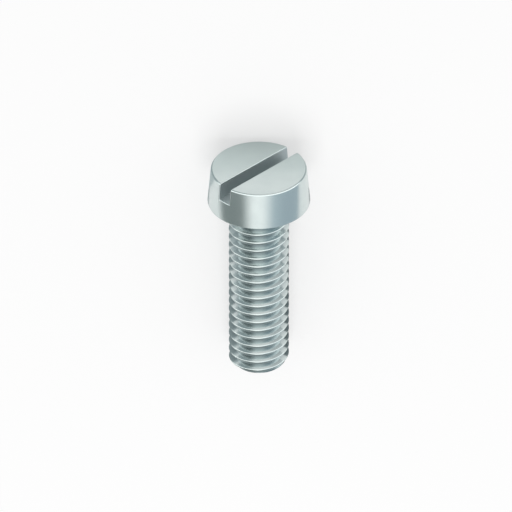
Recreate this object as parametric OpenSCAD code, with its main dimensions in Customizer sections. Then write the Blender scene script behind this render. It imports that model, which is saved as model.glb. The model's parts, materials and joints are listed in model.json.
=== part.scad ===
// Slotted cheese-head machine screw, M5 x 16, threaded up to its head.
// It is modelled upright on its own axis, with the bearing face at height 0, the head above it
// and the shank below, and is then laid on its side, the way it comes to rest on a table.

/* [Head] */
// Widest diameter of the head, at its base
head_d = 8.5; // [7:0.1:11]
// Height of the head
head_h = 3.25; // [2.6:0.05:5]
// Draft of the head's side, which makes its top smaller than its base
head_draft = 5; // [0:0.5:10]
// Rounding of the rim round the top face
top_round = 0.12; // [0.05:0.01:0.4]
// Rounding of the rim round the bearing face
base_round = 0.1; // [0.05:0.01:0.3]

/* [Driver slot] */
// Width between the slot's walls
slot_w = 1.2; // [0.8:0.05:2]
// Depth of the slot below the top face
slot_depth = 1.45; // [0.8:0.05:2]
// Width of the small chamfer along the slot's two top edges
slot_break = 0.07; // [0.02:0.01:0.2]
// Angle of the slot round the axis, from the side that lies down
slot_angle = -45; // [-90:5:90]

/* [Thread] */
// Diameter over the crests
thread_d = 5; // [4:0.25:6]
// Distance from one crest to the next
pitch = 0.8; // [0.5:0.05:1]
// Length of the shank below the head
shank_l = 16; // [6:1:25]
// Depth of the first crest below the head, on the side that lies down
first_crest = 0.6; // [0:0.05:1.2]
// Diameter of the flat end face, inside its 45 degree chamfer
tip_d = 4.1; // [2.5:0.1:4.6]
// Facets in one turn of the thread
turn_facets = 36; // [24:4:40]

/* [Neck] */
// Length of the plain neck between the head and the first ridge
neck_l = 0.8; // [0.6:0.1:2]
// Radius of the fillet where the neck meets the head
neck_fillet = 0.35; // [0.3:0.05:0.6]

/* [Hidden] */
$fn = 96;

// How far a cutting or joining shape runs past the surface that it has to clear
over = 0.15;
// Angle between neighbouring points of a rounding
arc_step = 15;

// 60 degree thread: the crest is a flat an eighth of the pitch wide, and the root an arc
// that the flanks run into a quarter of the pitch apart
sharp_h = pitch * cos(30);
crest_flat = pitch / 8;
root_gap = pitch / 4;
crest_r = thread_d / 2;
flank_r = crest_r - 5 / 8 * sharp_h;
root_r = crest_r - 17 / 24 * sharp_h;

// The neck has the thread's pitch diameter, and its end tapers into the groove within one pitch
neck_r = crest_r - 3 / 8 * sharp_h;
core_r = root_r - over;

// The rim roundings' centres lie so that the drafted side is tangent to both
base_r = head_d / 2 - base_round;
side_reach = base_r * cos(head_draft) + base_round * sin(head_draft) + base_round;
top_r = (side_reach - top_round - (head_h - top_round) * sin(head_draft)) / cos(head_draft);

// Rest pose: the head's base rim and the last full crest on the lower side both touch the table
chamfer_l = crest_r - tip_d / 2;
full_pitches = floor((shank_l - chamfer_l - first_crest - crest_flat / 2) / pitch);
rest_l = first_crest + full_pitches * pitch + crest_flat / 2 + base_round;
rest_drop = base_r - crest_r;
lie_angle = atan(rest_drop / rest_l) + asin(base_round / norm([rest_l, rest_drop]));
lift = crest_r * cos(lie_angle) + (rest_l - base_round) * sin(lie_angle);
head_end = top_r * sin(lie_angle) + (head_h - top_round) * cos(lie_angle) + top_round;
tip_end = tip_d / 2 * sin(lie_angle) + shank_l * cos(lie_angle);

// Points of a rounding, as [radius, height]
function arc(r, z, radius, from, to) =
    let (steps = ceil(abs(to - from) / arc_step))
    [for (i = [0:steps]) let (a = from + (to - from) * i / steps) [r + radius * cos(a), z + radius * sin(a)]];

// Head, fillet and neck in one turned section
module head_and_neck() {
    neck_end = -neck_l - over;
    rotate_extrude()
        polygon(concat(
            [[0, head_h]],
            arc(top_r, head_h - top_round, top_round, 90, head_draft),
            arc(base_r, base_round, base_round, head_draft, -90),
            arc(neck_r + neck_fillet, -neck_fillet, neck_fillet, 90, 180),
            [[neck_r, neck_end], [core_r, neck_end - pitch], [0, neck_end - pitch]]
        ));
}

// Slot cutter: straight walls, opening into a 45 degree chamfer at the top face
module driver_slot() {
    floor_z = head_h - slot_depth;
    wall = slot_w / 2;
    mouth = wall + slot_break + over;
    rotate([90, 0, slot_angle + 90])
        linear_extrude(height = head_d + 2 * over, center = true)
            polygon([
                [-wall, floor_z], [wall, floor_z], [wall, head_h - slot_break],
                [mouth, head_h + over], [-mouth, head_h + over], [-wall, head_h - slot_break]
            ]);
}

// Core and ridge in one solid: one pitch of the section is wound up a right-hand helix, and each
// turn joins the next. Its two ragged ends are closed to the axis, past what the turned limits keep.
module helix() {
    section = [
        [root_r, 0],
        [flank_r, root_gap / 2],
        [crest_r, (pitch - crest_flat) / 2],
        [crest_r, (pitch + crest_flat) / 2],
        [flank_r, pitch - root_gap / 2]
    ];
    sides = len(section);
    spare = ceil((shank_l + over - first_crest) / pitch + 0.5);
    low = -first_crest - (spare + 0.5) * pitch;
    end = ceil((over - low) / pitch) * turn_facets;

    function place(i, p) =
        let (a = 360 * i / turn_facets)
        [p[0] * cos(a), p[0] * sin(a), low + pitch * i / turn_facets + p[1]];
    // The point past a section's last one is the first point one turn higher
    function at(i, j) =
        j == sides ? at(i + turn_facets, 0) : i <= end ? i * sides + j : end * sides + sides + i - end - 1;

    points = concat(
        [for (i = [0:end], p = section) place(i, p)],
        [for (i = [end + 1:end + turn_facets]) place(i, section[0])],
        [[0, 0, low + pitch / 2], [0, 0, low + pitch * (end / turn_facets + 0.5)]]
    );
    foot = len(points) - 2;
    peak = len(points) - 1;
    faces = concat(
        [for (i = [0:end - 1], j = [0:sides - 1]) [at(i, j), at(i, j + 1), at(i + 1, j)]],
        [for (i = [0:end - 1], j = [0:sides - 1]) [at(i + 1, j), at(i, j + 1), at(i + 1, j + 1)]],
        [for (j = [0:sides - 1]) [at(0, j + 1), at(0, j), foot]],
        [for (i = [0:turn_facets - 1]) [at(i, 0), at(i + 1, 0), foot]],
        [for (j = [0:sides - 1]) [at(end, j), at(end, j + 1), peak]],
        [for (i = [end:end + turn_facets - 1]) [at(i + 1, 0), at(i, 0), peak]]
    );
    polyhedron(points, faces);
}

// Turned limits of the thread: it starts in a 45 degree shoulder at the neck, under the neck's
// surface, and ends in the tip's chamfer and its flat face
module thread_limits() {
    inner = neck_r - over;
    outer = crest_r + over;
    rotate_extrude()
        polygon([
            [0, over], [inner, over], [inner, over - neck_l],
            [outer, neck_r - outer - neck_l], [outer, chamfer_l + over - shank_l],
            [tip_d / 2, -shank_l], [0, -shank_l]
        ]);
}

module thread() {
    intersection() {
        helix();
        thread_limits();
    }
}

module lie_down() {
    translate([(tip_end - head_end) / 2, 0, lift])
        rotate([0, 90 - lie_angle, 0])
            children();
}

module screw() {
    color("silver")
        lie_down()
            difference() {
                union() {
                    head_and_neck();
                    thread();
                }
                driver_slot();
            }
}

screw();
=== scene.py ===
# Looks of the lying cheese-head screw: one piece of zinc-plated steel on a pale floor.
import json
import math

import bmesh
import bpy
from mathutils import Matrix, Vector


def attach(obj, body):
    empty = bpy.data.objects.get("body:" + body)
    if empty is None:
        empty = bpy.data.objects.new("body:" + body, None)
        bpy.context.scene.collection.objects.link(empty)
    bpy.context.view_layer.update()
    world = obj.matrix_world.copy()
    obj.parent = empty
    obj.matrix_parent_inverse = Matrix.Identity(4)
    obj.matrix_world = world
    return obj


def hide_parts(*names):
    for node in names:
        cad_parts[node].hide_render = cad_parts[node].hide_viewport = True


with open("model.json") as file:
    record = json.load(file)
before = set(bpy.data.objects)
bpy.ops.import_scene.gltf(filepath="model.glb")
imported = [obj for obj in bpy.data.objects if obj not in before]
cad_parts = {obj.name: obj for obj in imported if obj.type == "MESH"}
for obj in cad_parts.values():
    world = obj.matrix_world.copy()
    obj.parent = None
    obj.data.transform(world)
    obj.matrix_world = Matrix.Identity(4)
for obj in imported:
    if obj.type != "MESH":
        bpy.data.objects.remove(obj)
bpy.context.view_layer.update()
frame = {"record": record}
print("frame loaded")

# The meshes are made upright in millimetres, with the bearing face at height 0, then brought to
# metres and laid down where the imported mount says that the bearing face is.
millimetre = 0.001
bearing = next(m for m in frame["record"]["mounts"] if m["name"] == "bearing_face")
bearingCentre = Vector(bearing["pos_m"])
headward = -Vector(bearing["axis"]).normalized()   # along the screw's axis, from the tip to the head
across = Vector((0, 1, 0))
downward = across.cross(headward)                  # from the axis to the side that lies on the floor
layDown = Matrix.Translation(bearingCentre) @ Matrix((downward, across, headward)).transposed().to_4x4()
upAxis = (0, 0, 1)


# Helpers

def arcPoints(centre, radius, fromDegrees, toDegrees, pieces):
    span = toDegrees - fromDegrees
    angles = [math.radians(fromDegrees + span * i / pieces) for i in range(pieces + 1)]
    return [(centre[0] + radius * math.cos(a), centre[1] + radius * math.sin(a)) for a in angles]


def drawSection(mesh, points):
    verts = [mesh.verts.new((radius, 0, height)) for radius, height in points]
    return verts + [mesh.edges.new(pair) for pair in zip(verts, verts[1:])]


def lathe(points, steps):
    mesh = bmesh.new()
    section = drawSection(mesh, points)
    bmesh.ops.spin(mesh, geom=section, axis=upAxis, angle=math.tau, steps=steps, use_merge=True)
    bmesh.ops.holes_fill(mesh, edges=[e for e in mesh.edges if e.is_boundary])
    bmesh.ops.recalc_face_normals(mesh, faces=mesh.faces)
    return mesh


def addObject(name, mesh):
    data = bpy.data.meshes.new(name)
    mesh.to_mesh(data)
    mesh.free()
    item = bpy.data.objects.new(name, data)
    bpy.context.collection.objects.link(item)
    return item


def combine(item, operation, other):
    modifier = item.modifiers.new(operation.title(), "BOOLEAN")
    modifier.operation, modifier.solver, modifier.object = operation, "EXACT", other


def applyModifiers(item):
    evaluated = item.evaluated_get(bpy.context.evaluated_depsgraph_get())
    data = bpy.data.meshes.new_from_object(evaluated)
    item.modifiers.clear()
    item.data = data


def emptyTree(owner):
    owner.use_nodes = True
    owner.node_tree.nodes.clear()
    return owner.node_tree


def addNode(tree, kind, settings={}, inputs={}):
    node = tree.nodes.new(kind)
    for name, setting in settings.items():
        setattr(node, name, setting)
    for name, value in inputs.items():
        if isinstance(value, bpy.types.NodeSocket):
            tree.links.new(value, node.inputs[name])
        else:
            node.inputs[name].default_value = value
    return node


def fromHex(code):
    parts = [int(code[i:i + 2], 16) / 255 for i in (0, 2, 4)]
    return [c / 12.92 if c <= 0.04045 else ((c + 0.055) / 1.055) ** 2.4 for c in parts] + [1]


# Head with its slot, fillet and neck, in millimetres

headShape = {
    "diameter": 8.5,
    "height": 3.25,
    "draft": 5,             # degrees
    "topRound": 0.15,
    "baseRound": 0.1,
    "slotWidth": 1.2,
    "slotDepth": 1.45,
    "slotDegrees": -45,     # from the side that lies down
    "slotRound": 0.07,
    "neckDiameter": 4.48,
    "neckLength": 0.95,     # ends just inside the thread's shoulder
    "neckFillet": 0.35,
    "coreDiameter": 3.72,   # the neck tapers to this, inside the thread's grooves
    "coreTaper": 0.8,
    "steps": 104,           # keeps the slot's corners well away from the lines of the lathe
    "rimPieces": 4,
    "filletPieces": 8,
    "slotRoundPieces": 4,
    "sharpDegrees": 40,     # a turn that counts as a sharp edge
}


def makeHead(shape):
    draft = math.radians(shape["draft"])
    width, height = shape["slotWidth"] / 2, shape["height"]
    floorHeight = height - shape["slotDepth"]
    neck, fillet = shape["neckDiameter"] / 2, shape["neckFillet"]
    core = shape["coreDiameter"] / 2
    onPlane = 1e-5          # millimetres, for what lies on a cut line already

    # The tapered side touches the rounding of each rim, and the lower rim is the head's widest place
    topRound, baseRound = shape["topRound"], shape["baseRound"]
    baseCentre = shape["diameter"] / 2 - baseRound
    foot = baseCentre + baseRound * (1 + math.sin(draft)) / math.cos(draft)
    topCentre = foot - (height * math.sin(draft) + topRound * (1 - math.sin(draft))) / math.cos(draft)
    mesh = lathe(
        arcPoints((topCentre, height - topRound), topRound, 90, shape["draft"], shape["rimPieces"])
        + arcPoints((baseCentre, baseRound), baseRound, shape["draft"], -90, shape["rimPieces"])
        + arcPoints((neck + fillet, -fillet), fillet, 90, 180, shape["filletPieces"])
        + [(neck, -shape["neckLength"]), (core, -shape["neckLength"] - shape["coreTaper"])],
        shape["steps"],
    )

    # The slot: cut lines round it, its strip taken out, and its walls and floor bridged end to end
    cuts = [((0, 0, floorHeight), (0, 0, 1)), ((width, 0, 0), (1, 0, 0)), ((-width, 0, 0), (1, 0, 0))]
    for point, normal in cuts:
        above = [f for f in mesh.faces if f.calc_center_median().z > (floorHeight if normal[0] else 0)]
        parts = set(above) | {e for f in above for e in f.edges} | {v for f in above for v in f.verts}
        bmesh.ops.bisect_plane(mesh, geom=list(parts), plane_co=point, plane_no=normal, dist=onPlane)
    centres = {f: f.calc_center_median() for f in mesh.faces}
    strip = [f for f, centre in centres.items() if abs(centre.x) < width and centre.z > floorHeight]
    bmesh.ops.delete(mesh, geom=strip, context="FACES")
    ends = [
        e for e in mesh.edges
        if e.is_boundary and abs(e.verts[0].co.y - e.verts[1].co.y) < topCentre
    ]
    bmesh.ops.bridge_loops(mesh, edges=ends)
    bmesh.ops.recalc_face_normals(mesh, faces=mesh.faces)

    # Above the neck only the outline of the slot is still sharp: it is rounded, and the slot's inner
    # corners are not
    sharp = math.radians(shape["sharpDegrees"])
    outline = [
        e for e in mesh.edges
        if e.is_convex and e.calc_face_angle(0) > sharp and min(v.co.z for v in e.verts) > -fillet / 2
    ]
    bmesh.ops.bevel(
        mesh, geom=outline, offset=shape["slotRound"], offset_type="OFFSET", affect="EDGES",
        segments=shape["slotRoundPieces"], profile=0.5, material=-1, clamp_overlap=False,
    )
    mesh.transform(Matrix.Rotation(math.radians(shape["slotDegrees"] - 90), 4, "Z"))
    return mesh


# Thread, in millimetres: one pitch of its section wound up a right-hand helix

threadShape = {
    "diameter": 5,
    "pitch": 0.8,
    "length": 16,
    "firstCrest": 0.6,      # depth below the head, on the side that lies down
    "tipDiameter": 4.1,
    "neckLength": 0.8,      # from the head to the shoulder
    "steps": 96,            # in one turn
    "rootPieces": 4,
    "crestPieces": 6,
}


def makeThread(shape):
    pitch, crest = shape["pitch"], shape["diameter"] / 2
    flank = math.radians(30)
    sharp = pitch * math.cos(flank)           # height of the triangle that the flanks would make
    rootRound, crestRound = sharp / 6, pitch / 16 / math.tan(flank)
    rootCentre = crest - sharp * 13 / 24      # from which the rounding touches both flanks
    rootHalf = arcPoints((rootCentre, -pitch / 2), rootRound, 180, 120, shape["rootPieces"])
    crestArc = arcPoints((crest - crestRound, 0), crestRound, -60, 60, shape["crestPieces"])
    section = rootHalf + crestArc + [(radius, -height) for radius, height in reversed(rootHalf)]
    turnsBelow = math.ceil((shape["length"] - shape["firstCrest"]) / pitch) + 1
    start = -shape["firstCrest"] - turnsBelow * pitch
    turns = math.ceil(1 - start / pitch)
    mesh = bmesh.new()
    bmesh.ops.spin(
        mesh, geom=drawSection(mesh, [(radius, height + start) for radius, height in section]),
        axis=upAxis, angle=math.tau, steps=shape["steps"], dvec=(0, 0, pitch / shape["steps"]),
    )
    oneTurn = mesh.verts[:] + mesh.edges[:] + mesh.faces[:]
    for i in range(1, turns):
        copied = bmesh.ops.duplicate(mesh, geom=oneTurn)["geom"]
        moved = [v for v in copied if isinstance(v, bmesh.types.BMVert)]
        bmesh.ops.translate(mesh, verts=moved, vec=(0, 0, i * pitch))
    sameSpot = 1e-4                           # millimetres
    bmesh.ops.remove_doubles(mesh, verts=mesh.verts, dist=sameSpot)
    for below in (True, False):               # each ragged end is closed to a point on the axis
        middle = start if below else start + turns * pitch
        ragged = [e for e in mesh.edges if e.is_boundary and (e.verts[0].co.z < start / 2) == below]
        fan = bmesh.ops.extrude_edge_only(mesh, edges=ragged)["geom"]
        inner = [v for v in fan if isinstance(v, bmesh.types.BMVert)]
        bmesh.ops.pointmerge(mesh, verts=inner, merge_co=(0, 0, middle))
    bmesh.ops.recalc_face_normals(mesh, faces=mesh.faces)
    return mesh


# What the thread is cut back to: a chamfered tip, and a shoulder where it meets the neck

def makeThreadLimits(shape, neckDiameter):
    over = 0.15                # millimetres: inside the neck and the head, and outside the crests
    length, tip, neck = shape["length"], shape["tipDiameter"] / 2, neckDiameter / 2
    inner, outer = neck - over, shape["diameter"] / 2 + over
    mesh = lathe([
        (inner, over), (inner, over - shape["neckLength"]), (outer, neck - outer - shape["neckLength"]),
        (outer, outer - tip - length), (tip, -length),
    ], shape["steps"])
    halfStep = math.pi / shape["steps"]       # keeps its lines off those of the thread
    mesh.transform(Matrix.Rotation(halfStep, 4, "Z"))
    return mesh


creaseDegrees = 32      # a turn that shows as an edge


head = addObject("screwHead", makeHead(headShape))
screw = addObject("screwBody", makeThread(threadShape))
limits = addObject("screwLimits", makeThreadLimits(threadShape, headShape["neckDiameter"]))
combine(screw, "INTERSECT", limits)
combine(screw, "UNION", head)
applyModifiers(screw)
bpy.data.objects.remove(head)
bpy.data.objects.remove(limits)
screw.data.transform(layDown @ Matrix.Scale(millimetre, 4))
screw.data.polygons.foreach_set("use_smooth", [True] * len(screw.data.polygons))
screw.data.set_sharp_from_angle(angle=math.radians(creaseDegrees))
weighted = screw.modifiers.new("Normals", "WEIGHTED_NORMAL")
weighted.keep_sharp = True
print("screw modelled,", len(screw.data.polygons), "faces")


# Bright zinc plate: a pale, slightly green-blue metal with soft-edged reflections on the turned
# head and crisper ones on the rolled thread. The plate is duller in the slot. Its colour is darker
# in the slot and down in the grooves, most of all in their roots: painted shade. Its real grain is
# too fine to show, so it is drawn coarser.

zincFinish = {
    "colour": "DAE4E2",
    "patchColour": "D2DCDB",
    "patchSize": 1.1,              # millimetres
    "patchDetail": 3,
    "patchRoughness": 0.55,
    "patchRange": (0.3, 0.7),      # of the pattern, from the smoothest to the dullest plate
    "grainSize": 0.12,             # millimetres
    "grainHeight": 0.0012,
    "grainDetail": 2,
    "turnedRoughness": (0.21, 0.27),
    "rolledRoughness": 0.16,
    # Painted shade: the colour darkens down in the thread's grooves
    "grooveShadeColour": "B9C3C4",
    "grooveShadeBetween": (0, 0.34),    # millimetres under the crests, from no tone to the full one
    # Painted shade: the colour is much darker in the roots of the grooves
    "rootShadeColour": "646E6F",
    "rootShadeBetween": (0.43, 0.465),
    "sawnRoughness": 0.5,
    # Painted shade: the slot's colour is darker, and its plate is rougher where it is sawn
    "slotShadeColour": "C3CBCC",
    "sawnAndShadedSlotBetween": (0.03, 0.2),    # millimetres under the top face
    "margin": 0.01,                # millimetres between a zone's limit and the face near it
}


def zincPlate(look):
    material = bpy.data.materials.new("zincPlatedSteel")
    tree = emptyTree(material)

    # Millimetres in the screw's own upright frame, its radius, and its side turned with the slot
    upright = addNode(tree, "ShaderNodeMapping", {"vector_type": "TEXTURE"}, {
        "Vector": addNode(tree, "ShaderNodeTexCoord").outputs["Object"],
        "Location": bearingCentre, "Rotation": layDown.to_euler(), "Scale": (millimetre,) * 3,
    }).outputs[0]
    height = addNode(tree, "ShaderNodeSeparateXYZ", inputs={0: upright}).outputs["Z"]
    flat = addNode(tree, "ShaderNodeVectorMath", {"operation": "MULTIPLY"}, {
        0: upright, 1: (1, 1, 0),
    }).outputs[0]
    radius = addNode(tree, "ShaderNodeVectorMath", {"operation": "LENGTH"}, {0: flat}).outputs["Value"]
    turned = addNode(tree, "ShaderNodeVectorRotate", {"rotation_type": "Z_AXIS"}, {
        "Vector": upright, "Angle": -math.radians(headShape["slotDegrees"] - 90),
    }).outputs[0]
    slotSide = addNode(tree, "ShaderNodeSeparateXYZ", inputs={0: turned}).outputs["X"]

    # Where the thread is, how deep in its grooves, and where the slot is: masks for the painted shade
    # and for the roughness
    length, crest, margin = threadShape["length"], threadShape["diameter"] / 2, look["margin"]
    fillet = headShape["neckFillet"]
    rolled = addNode(tree, "ShaderNodeMath", {"operation": "COMPARE"}, {
        0: height, 1: -(length + fillet) / 2, 2: (length - fillet) / 2 - margin,
    }).outputs[0]
    shares = []
    for start, stop in (look["grooveShadeBetween"], look["rootShadeBetween"]):
        depth = addNode(tree, "ShaderNodeMapRange", inputs={
            "Value": radius, "From Min": crest - start, "From Max": crest - stop,
        }).outputs[0]
        shares.append(addNode(tree, "ShaderNodeMath", {"operation": "MULTIPLY"}, {
            0: rolled, 1: depth,
        }).outputs[0])
    # Painted shade: shares of the darker colour down in the grooves and in their roots
    grooveShade, root = shares
    inWidth = addNode(tree, "ShaderNodeMath", {"operation": "COMPARE"}, {
        0: slotSide, 1: 0, 2: headShape["slotWidth"] / 2 + margin,
    }).outputs[0]
    top = headShape["height"]
    start, stop = look["sawnAndShadedSlotBetween"]
    inDepth = addNode(tree, "ShaderNodeMapRange", {"interpolation_type": "SMOOTHSTEP"}, {
        "Value": height, "From Min": top - start, "From Max": top - stop,
    }).outputs[0]
    aboveFloor = addNode(tree, "ShaderNodeMath", {"operation": "GREATER_THAN"}, {
        0: height, 1: top - headShape["slotDepth"] - margin,
    }).outputs[0]
    sawnAndShadedSlot = inWidth
    for share in (aboveFloor, inDepth):
        sawnAndShadedSlot = addNode(tree, "ShaderNodeMath", {"operation": "MULTIPLY"}, {
            0: sawnAndShadedSlot, 1: share,
        }).outputs[0]

    patches = addNode(tree, "ShaderNodeTexNoise", inputs={
        "Vector": upright, "Scale": 1 / look["patchSize"], "Detail": look["patchDetail"],
        "Roughness": look["patchRoughness"],
    }).outputs["Fac"]
    colour = addNode(tree, "ShaderNodeMix", {"data_type": "RGBA"}, {
        "Factor": patches, 6: fromHex(look["colour"]), 7: fromHex(look["patchColour"]),
    }).outputs[2]
    # Painted shade: a darker colour down in the grooves, in their roots and in the slot
    tones = ((grooveShade, look["grooveShadeColour"]), (root, look["rootShadeColour"]), (sawnAndShadedSlot, look["slotShadeColour"]))
    for share, tone in tones:
        colour = addNode(tree, "ShaderNodeMix", {"data_type": "RGBA"}, {
            "Factor": share, 6: colour, 7: fromHex(tone),
        }).outputs[2]

    (start, stop), (low, high) = look["patchRange"], look["turnedRoughness"]
    rough = addNode(tree, "ShaderNodeMapRange", inputs={
        "Value": patches, "From Min": start, "From Max": stop, "To Min": low, "To Max": high,
    }).outputs[0]
    for share, value in ((rolled, look["rolledRoughness"]), (sawnAndShadedSlot, look["sawnRoughness"])):
        rough = addNode(tree, "ShaderNodeMix", inputs={
            "Factor": share, "A": rough, "B": value,
        }).outputs[0]
    grain = addNode(tree, "ShaderNodeTexNoise", inputs={
        "Vector": upright, "Scale": 1 / look["grainSize"], "Detail": look["grainDetail"],
    }).outputs["Fac"]
    bump = addNode(tree, "ShaderNodeBump", inputs={
        "Height": grain, "Distance": look["grainHeight"] * millimetre,
    }).outputs[0]
    shader = addNode(tree, "ShaderNodeBsdfPrincipled", inputs={
        "Base Color": colour, "Roughness": rough, "Normal": bump, "Metallic": 1,
    })
    addNode(tree, "ShaderNodeOutputMaterial", inputs={"Surface": shader.outputs["BSDF"]})
    return material


screw.data.materials.clear()
screw.data.materials.append(zincPlate(zincFinish))
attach(screw, "root")
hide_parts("screw")
print("finish laid on")


# White floor under a sky that is white for the floor and the camera. The metal mirrors a sky with
# grey bands round the screw's axis on the tip's side, and on the head's side a bright belt, which
# only the rims and the crests of the thread catch, and a duller middle.

studio = {
    "white": "FFFFFF",
    "floorSize": 0.056,               # metres
    "shadowLift": 0.5,                # how much lighter the camera sees the shadow
    "fillStrength": 0.6,              # of the sky that lights the floor, beside the softbox
    "bands": {                        # colour by the angle round the axis, from the zenith to the right
        -180: "FFFFFF", -104: "FFFFFF", -87: "828989", -38: "828989", -14: "FFFFFF", 8: "FFFFFF",
        34: "B0BDC5", 60: "A3B0B9", 104: "A3B0B9", 112: "FFFFFF", 180: "FFFFFF",
    },
    "bandStrength": 1.13,
    "beltStrength": 1.7,
    "axisStrength": 0.88,
    "aside": "A2AFB2",                # near the axis, beside it
    "asideShares": {-1: 1, 1: 0.5},   # of that tone, to the left and to the right
    "asideFrom": 48,                  # degrees round the axis
    "asideTo": 75,
    "beltRise": (-0.05, 0.1),         # cosines of the angle to the axis
    "beltFall": (0.5, 0.72),
    "mattBounces": 0.5,               # a ray with fewer has met nothing but metal
}


def floorMaterial(look):
    material = bpy.data.materials.new("whiteFloor")
    material.cycles.emission_sampling = "NONE"
    tree = emptyTree(material)
    matt = addNode(tree, "ShaderNodeBsdfDiffuse", inputs={"Color": fromHex(look["white"])}).outputs[0]
    lift = addNode(tree, "ShaderNodeEmission", inputs={"Color": fromHex(look["white"])}).outputs[0]
    path = addNode(tree, "ShaderNodeLightPath").outputs
    share = addNode(tree, "ShaderNodeMath", {"operation": "MULTIPLY"}, {
        0: path["Is Camera Ray"], 1: look["shadowLift"],
    }).outputs[0]
    both = addNode(tree, "ShaderNodeMixShader", inputs={0: share, 1: matt, 2: lift}).outputs[0]
    addNode(tree, "ShaderNodeOutputMaterial", inputs={"Surface": both})
    return material


def bandedSky(look):
    world = bpy.data.worlds.new("bandedSky")
    world.cycles.sampling_method = "NONE"
    tree = emptyTree(world)
    direction = addNode(tree, "ShaderNodeTexCoord").outputs["Generated"]
    along, up, right = (
        addNode(tree, "ShaderNodeVectorMath", {"operation": "DOT_PRODUCT"}, {
            0: direction, 1: axis,
        }).outputs["Value"] for axis in (headward, -downward, -across)
    )
    angle = addNode(tree, "ShaderNodeMath", {"operation": "ARCTAN2"}, {0: right, 1: up}).outputs[0]
    place = addNode(tree, "ShaderNodeMapRange", inputs={
        "Value": angle, "From Min": -math.pi, "From Max": math.pi,
    }).outputs[0]
    bands = addNode(tree, "ShaderNodeValToRGB", inputs={"Fac": place})
    steps = bands.color_ramp.elements
    for degrees, colour in look["bands"].items():
        step = {-180: steps[0], 180: steps[-1]}.get(degrees) or steps.new(degrees / 360 + 0.5)
        step.color = fromHex(colour)

    inBelt = addNode(tree, "ShaderNodeMapRange", {"interpolation_type": "SMOOTHSTEP"}, {
        "Value": along, "From Min": look["beltRise"][0], "From Max": look["beltRise"][1],
    }).outputs[0]
    nearAxis = addNode(tree, "ShaderNodeMapRange", inputs={
        "Value": along, "From Min": look["beltFall"][0], "From Max": look["beltFall"][1],
    }).outputs[0]
    aside = 0
    for side, share in look["asideShares"].items():
        onSide = addNode(tree, "ShaderNodeMapRange", {"interpolation_type": "SMOOTHSTEP"}, {
            "Value": angle, "From Min": side * math.radians(look["asideFrom"]),
            "From Max": side * math.radians(look["asideTo"]), "To Max": share,
        }).outputs[0]
        aside = addNode(tree, "ShaderNodeMath", {"operation": "ADD"}, {
            0: aside, 1: onSide,
        }).outputs[0]
    aside = addNode(tree, "ShaderNodeMath", {"operation": "MULTIPLY"}, {
        0: aside, 1: nearAxis,
    }).outputs[0]
    belt = addNode(tree, "ShaderNodeMix", {"data_type": "RGBA"}, {
        "Factor": aside, 6: fromHex(look["white"]), 7: fromHex(look["aside"]),
    }).outputs[2]
    colour = addNode(tree, "ShaderNodeMix", {"data_type": "RGBA"}, {
        "Factor": inBelt, 6: bands.outputs["Color"], 7: belt,
    }).outputs[2]
    strength = addNode(tree, "ShaderNodeMix", inputs={
        "Factor": nearAxis, "A": look["beltStrength"], "B": look["axisStrength"],
    }).outputs[0]
    strength = addNode(tree, "ShaderNodeMix", inputs={
        "Factor": inBelt, "A": look["bandStrength"], "B": strength,
    }).outputs[0]
    mirrored = addNode(tree, "ShaderNodeBackground", inputs={
        "Color": colour, "Strength": strength,
    }).outputs[0]

    path = addNode(tree, "ShaderNodeLightPath").outputs
    seen = addNode(tree, "ShaderNodeMapRange", inputs={
        "Value": path["Is Camera Ray"], "To Min": look["fillStrength"], "To Max": 1,
    }).outputs[0]
    plain = addNode(tree, "ShaderNodeBackground", inputs={
        "Color": fromHex(look["white"]), "Strength": seen,
    }).outputs[0]
    straight = addNode(tree, "ShaderNodeMath", {"operation": "LESS_THAN"}, {
        0: path["Diffuse Depth"], 1: look["mattBounces"],
    }).outputs[0]
    inMetal = addNode(tree, "ShaderNodeMath", {"operation": "MULTIPLY"}, {
        0: path["Is Glossy Ray"], 1: straight,
    }).outputs[0]
    both = addNode(tree, "ShaderNodeMixShader", inputs={0: inMetal, 1: plain, 2: mirrored}).outputs[0]
    addNode(tree, "ShaderNodeOutputWorld", inputs={"Surface": both})
    return world


def addPlane(name, place, size, material):
    mesh = bmesh.new()
    half = 0.5                            # of a square metre, which is then brought to its size
    bmesh.ops.create_grid(mesh, x_segments=1, y_segments=1, size=half)
    bmesh.ops.scale(mesh, vec=(*size, 1), verts=mesh.verts)
    bmesh.ops.translate(mesh, vec=place, verts=mesh.verts)
    item = addObject(name, mesh)
    item.data.materials.append(material)
    return item


# Grey cards on the floor round the screw, which only the metal sees: painted reflections of a deeper
# shadow on the floor, which draw the edges of the bright metal.

cardHeight = 0.05                     # millimetres above the floor
mirroredShadeCards = {                         # millimetres from and to along the screw, and beside it
    "shankLeft": {"along": (-10.5, 0.5), "beside": (3, 8.2), "colour": "9CA5A8"},
    "outerLeft": {"along": (-10.5, 0.5), "beside": (8.2, 11), "colour": "CAD2D4"},
    "neckLeft": {"along": (0.5, 5.2), "beside": (3, 6), "colour": "A4ADB0"},
    "headLeft": {"along": (5.2, 9), "beside": (4.7, 27), "colour": "CAD2D4"},
    "aheadLeft": {"along": (9, 27), "beside": (4.7, 27), "colour": "ACB6B9"},
    "ahead": {"along": (9.9, 13.9), "beside": (-4.6, 4.6), "colour": "ECF0F0"},
    "aheadRight": {"along": (11, 27), "beside": (-27, -4.7), "colour": "B4BDC0"},
    "neckRight": {"along": (0.5, 5.2), "beside": (-5.6, -3), "colour": "7A8386"},
    "shankRight": {"along": (-10.5, 0.5), "beside": (-7.2, -3), "colour": "757E81"},
    "tipLeft": {"along": (-28, -10.5), "beside": (0.4, 6), "colour": "6E7678"},
    "tipRight": {"along": (-28, -10.5), "beside": (-6, -0.6), "colour": "A6B0B5"},
}


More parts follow.
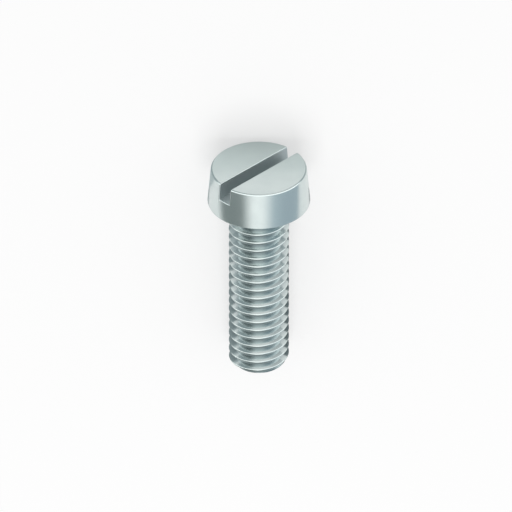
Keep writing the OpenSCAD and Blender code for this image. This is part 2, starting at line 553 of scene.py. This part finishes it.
def addMirroredShadeCards(cards):
    for name, card in cards.items():
        material = bpy.data.materials.new(name + "Card")
        tree = emptyTree(material)
        colour = fromHex(card["colour"])
        matt = addNode(tree, "ShaderNodeBsdfDiffuse", inputs={"Color": colour}).outputs[0]
        addNode(tree, "ShaderNodeOutputMaterial", inputs={"Surface": matt})
        (back, front), (near, far) = card["along"], card["beside"]
        place = Vector(((back + front) / 2, (near + far) / 2, cardHeight)) * millimetre
        size = ((front - back) * millimetre, (far - near) * millimetre)
        item = addPlane(name + "Card", place, size, material)
        # Hidden from the camera, from diffuse light and from shadows: a painted reflection of shade
        # that only the metal mirrors
        item.visible_camera = item.visible_diffuse = item.visible_shadow = False


# Softbox above the shank: the floor just ahead of the head is in the head's own soft shadow
softbox = {
    "share": 0.4,               # of the floor's light
    "fromZenith": 14,           # degrees, towards the tip
    "distance": 0.5,            # metres
    "size": 0.28,
}


def addSoftbox(look):
    tilt = math.radians(look["fromZenith"])
    lamp = bpy.data.lights.new("softbox", "AREA")
    lamp.size = look["size"]
    # The watts that give the floor that share of the light of a white sky
    lamp.energy = look["share"] * (math.pi * look["distance"]) ** 2 / math.cos(tilt)
    item = bpy.data.objects.new("softbox", lamp)
    item.matrix_world = Matrix.Rotation(-tilt, 4, "Y") @ Matrix.Translation((0, 0, look["distance"]))
    item.visible_glossy = False
    bpy.context.collection.objects.link(item)


addPlane("floor", (0, 0, 0), (studio["floorSize"],) * 2, floorMaterial(studio))
addMirroredShadeCards(mirroredShadeCards)
addSoftbox(softbox)
bpy.context.scene.world = bandedSky(studio)
print("studio set up")


# Camera at the picture's angle to the screw, with the head at the top of the picture

shot = {
    "riseDegrees": 34.6,            # of the line of sight above the plane of the bearing face
    "pixelsPerMillimetre": 12.08,
    "bearingPixel": (258.9, 200.45),    # where the centre of the bearing face is seen
    "imagePixels": 512,
    "lens": 1200,                   # millimetres; long, so the view is close to a parallel one
    "sensor": 36,
    "clip": (0.01, 3),              # shares of the distance to the screw
}


def placeCamera(view):
    rise = math.radians(view["riseDegrees"])
    upward = -downward
    back = headward * math.sin(rise) + upward * math.cos(rise)
    up = headward * math.cos(rise) - upward * math.sin(rise)
    right = up.cross(back)
    metresPerPixel = millimetre / view["pixelsPerMillimetre"]
    offX = (view["bearingPixel"][0] - view["imagePixels"] / 2) * metresPerPixel
    offY = (view["imagePixels"] / 2 - view["bearingPixel"][1]) * metresPerPixel
    target = bearingCentre - right * offX - up * offY
    camera = bpy.data.objects.new("camera", bpy.data.cameras.new("camera"))
    camera.data.lens, camera.data.sensor_width = view["lens"], view["sensor"]
    distance = view["imagePixels"] * metresPerPixel * view["lens"] / view["sensor"]
    camera.data.clip_start, camera.data.clip_end = (distance * share for share in view["clip"])
    turn = Matrix((right, up, back)).transposed().to_4x4()
    camera.matrix_world = Matrix.Translation(target + back * distance) @ turn
    bpy.context.collection.objects.link(camera)
    return camera


bpy.context.scene.camera = placeCamera(shot)
bpy.context.scene.view_settings.view_transform = "Standard"

print("scene ready")
